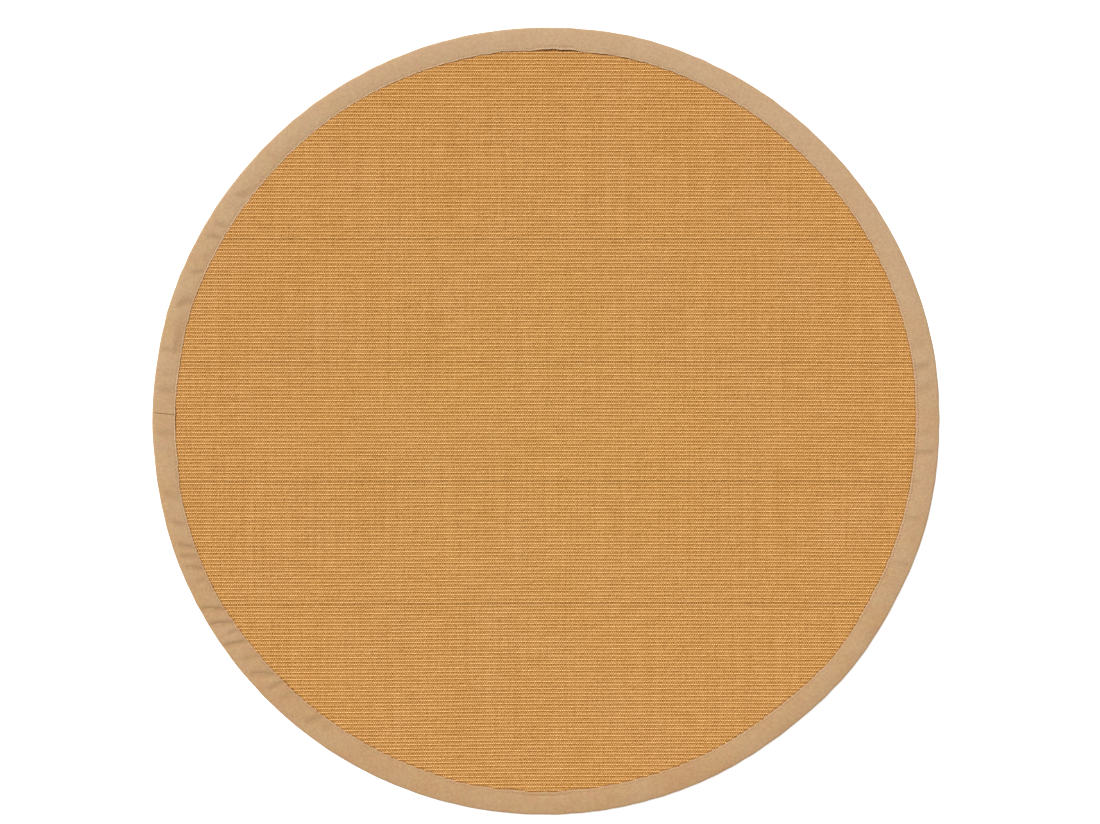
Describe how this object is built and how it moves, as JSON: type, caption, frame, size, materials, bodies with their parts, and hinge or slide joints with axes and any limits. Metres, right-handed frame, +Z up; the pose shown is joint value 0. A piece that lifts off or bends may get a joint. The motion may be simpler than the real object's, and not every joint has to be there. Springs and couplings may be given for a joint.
{
  "type": "round sisal rug",
  "caption": "Round flat-woven sisal rug with raised ribs across it and a cotton cloth border folded round its edge and sewn down.",
  "frame": {"origin": "under the rug's centre, on the surface that it lies on", "axes": "+Z up through the rug, +X along the weave's ribs, +Y across them, with the border's join at -X"},
  "size_m": [1.4999, 1.4999, 0.0082],
  "materials": {
    "sisal_weave": "matt ribbed weave of golden tan sisal yarn",
    "cotton_cloth": "matt plain-woven beige cotton"
  },
  "bodies": {
    "root": {"sisal_mat": "sisal_weave", "cotton_binding": "cotton_cloth"}
  },
  "joints": []
}
